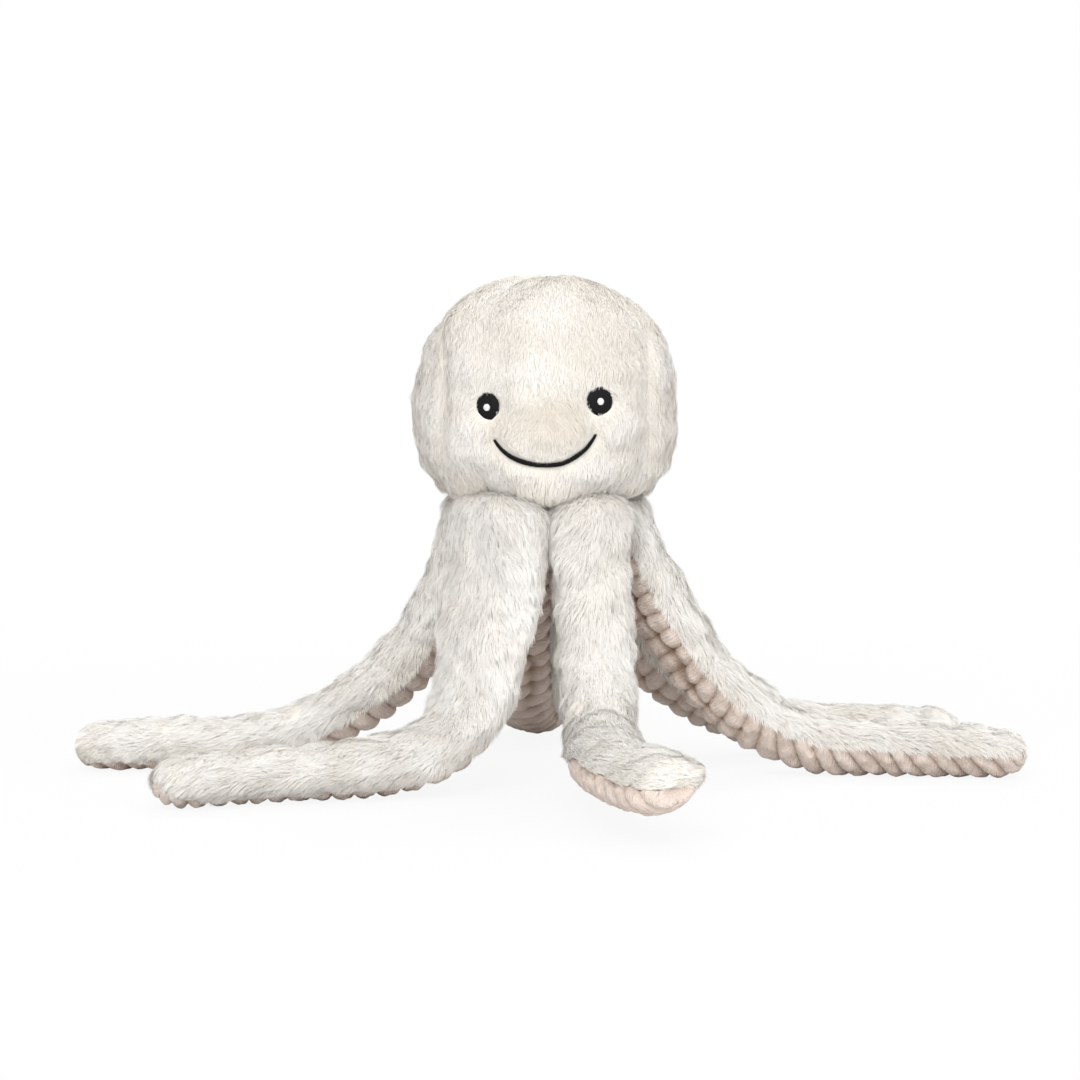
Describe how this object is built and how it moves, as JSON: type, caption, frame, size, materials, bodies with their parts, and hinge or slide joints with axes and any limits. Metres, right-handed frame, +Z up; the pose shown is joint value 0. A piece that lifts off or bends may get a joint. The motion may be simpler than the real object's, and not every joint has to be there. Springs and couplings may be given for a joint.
{
  "type": "plush octopus",
  "caption": "Stuffed octopus toy: furry round head with an embroidered face on soft arms with ribbed undersides that bend at the head and at mid length.",
  "frame": {"origin": "middle of the toy's box, on the surface that it stands on", "axes": "+Z up, the face looks along -Y, +X is on the right as seen from in front"},
  "size_m": [0.4784, 0.4542, 0.249],
  "materials": {
    "ivory_fur": "soft long-pile faux fur",
    "ribbed_plush": "wide-rib velour plush",
    "fibre_fill": "loose fibre stuffing",
    "black_thread": "satin-stitched thread",
    "white_thread": "satin-stitched thread"
  },
  "bodies": {
    "head": {"head_face_panel": "ivory_fur", "head_back_panel": "ivory_fur", "head_side_panel_left": "ivory_fur", "head_side_panel_right": "ivory_fur", "head_underside_panel": "ribbed_plush", "head_stuffing": "fibre_fill", "eye_left": "black_thread", "eye_highlight_left": "white_thread", "eye_right": "black_thread", "eye_highlight_right": "white_thread", "smile": "black_thread"},
    "front_right_arm_upper": {"front_right_arm_upper_fur": "ivory_fur", "front_right_arm_upper_ribbed_plush": "ribbed_plush", "front_right_arm_upper_stuffing": "fibre_fill"},
    "front_right_arm_lower": {"front_right_arm_lower_fur": "ivory_fur", "front_right_arm_lower_ribbed_plush": "ribbed_plush", "front_right_arm_lower_stuffing": "fibre_fill"},
    "back_right_arm_upper": {"back_right_arm_upper_fur": "ivory_fur", "back_right_arm_upper_ribbed_plush": "ribbed_plush", "back_right_arm_upper_stuffing": "fibre_fill"},
    "back_right_arm_lower": {"back_right_arm_lower_fur": "ivory_fur", "back_right_arm_lower_ribbed_plush": "ribbed_plush", "back_right_arm_lower_stuffing": "fibre_fill"},
    "back_arm_upper": {"back_arm_upper_fur": "ivory_fur", "back_arm_upper_ribbed_plush": "ribbed_plush", "back_arm_upper_stuffing": "fibre_fill"},
    "back_arm_lower": {"back_arm_lower_fur": "ivory_fur", "back_arm_lower_ribbed_plush": "ribbed_plush", "back_arm_lower_stuffing": "fibre_fill"},
    "back_left_arm_upper": {"back_left_arm_upper_fur": "ivory_fur", "back_left_arm_upper_ribbed_plush": "ribbed_plush", "back_left_arm_upper_stuffing": "fibre_fill"},
    "back_left_arm_lower": {"back_left_arm_lower_fur": "ivory_fur", "back_left_arm_lower_ribbed_plush": "ribbed_plush", "back_left_arm_lower_stuffing": "fibre_fill"},
    "front_left_arm_upper": {"front_left_arm_upper_fur": "ivory_fur", "front_left_arm_upper_ribbed_plush": "ribbed_plush", "front_left_arm_upper_stuffing": "fibre_fill"},
    "front_left_arm_lower": {"front_left_arm_lower_fur": "ivory_fur", "front_left_arm_lower_ribbed_plush": "ribbed_plush", "front_left_arm_lower_stuffing": "fibre_fill"},
    "front_arm_upper": {"front_arm_upper_fur": "ivory_fur", "front_arm_upper_ribbed_plush": "ribbed_plush", "front_arm_upper_stuffing": "fibre_fill"},
    "front_arm_lower": {"front_arm_lower_fur": "ivory_fur", "front_arm_lower_ribbed_plush": "ribbed_plush", "front_arm_lower_stuffing": "fibre_fill"}
  },
  "joints": [
    {"name": "front_right_arm_root", "type": "hinge", "parent": "head", "child": "front_right_arm_upper", "pos_m": [0.03782, -0.0063, 0.1305], "axis": [0.2264, -0.9682, 0.1061], "range_deg": [-10, 40]},
    {"name": "front_right_arm_bend", "type": "hinge", "parent": "front_right_arm_upper", "child": "front_right_arm_lower", "pos_m": [0.10589, -0.00879, 0.02769], "axis": [0.2228, -0.8774, 0.4249], "range_deg": [-25, 35]},
    {"name": "back_right_arm_root", "type": "hinge", "parent": "head", "child": "back_right_arm_upper", "pos_m": [0.01832, 0.02748, 0.1305], "axis": [0.6406, -0.7679, 0], "range_deg": [-10, 40]},
    {"name": "back_right_arm_bend", "type": "hinge", "parent": "back_right_arm_upper", "child": "back_right_arm_lower", "pos_m": [0.07636, 0.05118, 0.03411], "axis": [0.2853, -0.9512, 0.1174], "range_deg": [-25, 35]},
    {"name": "back_arm_root", "type": "hinge", "parent": "head", "child": "back_arm_upper", "pos_m": [-0.01516, 0.03011, 0.1305], "axis": [1, 0.0009, 0], "range_deg": [-10, 40]},
    {"name": "back_arm_bend", "type": "hinge", "parent": "back_arm_upper", "child": "back_arm_lower", "pos_m": [-0.01263, 0.09804, 0.0278], "axis": [0.9918, -0.128, 0], "range_deg": [-25, 35]},
    {"name": "back_left_arm_root", "type": "hinge", "parent": "head", "child": "back_left_arm_upper", "pos_m": [-0.03947, 0.00114, 0.1305], "axis": [0.138, 0.9904, 0], "range_deg": [-10, 40]},
    {"name": "back_left_arm_bend", "type": "hinge", "parent": "back_left_arm_upper", "child": "back_left_arm_lower", "pos_m": [-0.09204, 0.00531, 0.03759], "axis": [0.0969, 0.9936, -0.0573], "range_deg": [-25, 35]},
    {"name": "front_left_arm_root", "type": "hinge", "parent": "head", "child": "front_left_arm_upper", "pos_m": [-0.02299, -0.03863, 0.1305], "axis": [-0.7442, 0.668, 0], "range_deg": [-10, 40]},
    {"name": "front_left_arm_bend", "type": "hinge", "parent": "front_left_arm_upper", "child": "front_left_arm_lower", "pos_m": [-0.05935, -0.06747, 0.01987], "axis": [-0.4122, 0.9111, 0], "range_deg": [-25, 35]},
    {"name": "front_arm_root", "type": "hinge", "parent": "head", "child": "front_arm_upper", "pos_m": [0.02063, -0.03863, 0.1305], "axis": [-0.8677, -0.497, 0], "range_deg": [-10, 40]},
    {"name": "front_arm_bend", "type": "hinge", "parent": "front_arm_upper", "child": "front_arm_lower", "pos_m": [0.0258, -0.08851, 0.02919], "axis": [-0.9949, 0.0104, -0.1006], "range_deg": [-25, 35]}
  ]
}
